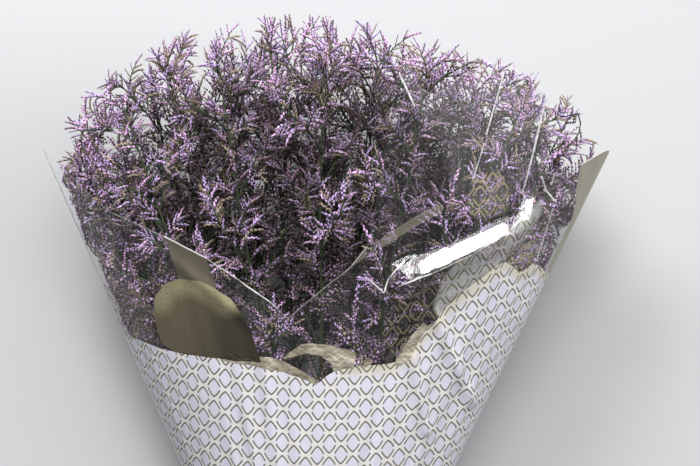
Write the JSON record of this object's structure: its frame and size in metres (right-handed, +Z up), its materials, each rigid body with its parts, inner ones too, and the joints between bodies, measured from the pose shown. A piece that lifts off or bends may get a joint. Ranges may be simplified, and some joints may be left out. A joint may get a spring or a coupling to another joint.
{
  "type": "bunch of dried statice",
  "caption": "Bunch of dried lilac statice, stems cut and banded, in a cone-shaped clear film sleeve, lying on its side.",
  "frame": {"origin": "on the surface that the bunch lies on, below the middle of its box", "axes": "+Y along the stems from the cut ends to the flower heads, +Z up from the surface, +X across to the right of someone who looks down on the bunch with its heads away from them"},
  "size_m": [0.5755, 0.7388, 0.3176],
  "materials": {
    "statice": "matte",
    "sleeve_film": "gloss",
    "band_rubber": "matte"
  },
  "bodies": {
    "root": {"spray_00": "statice", "spray_01": "statice", "spray_02": "statice", "spray_03": "statice", "spray_04": "statice", "spray_05": "statice", "spray_06": "statice", "spray_07": "statice", "spray_08": "statice", "spray_09": "statice", "spray_10": "statice", "spray_11": "statice", "spray_12": "statice", "spray_13": "statice", "spray_14": "statice", "spray_15": "statice", "spray_16": "statice", "spray_17": "statice", "spray_18": "statice", "spray_19": "statice", "spray_20": "statice", "spray_21": "statice", "spray_22": "statice", "spray_23": "statice", "sleeve": "sleeve_film", "elastic_band": "band_rubber"}
  },
  "joints": []
}
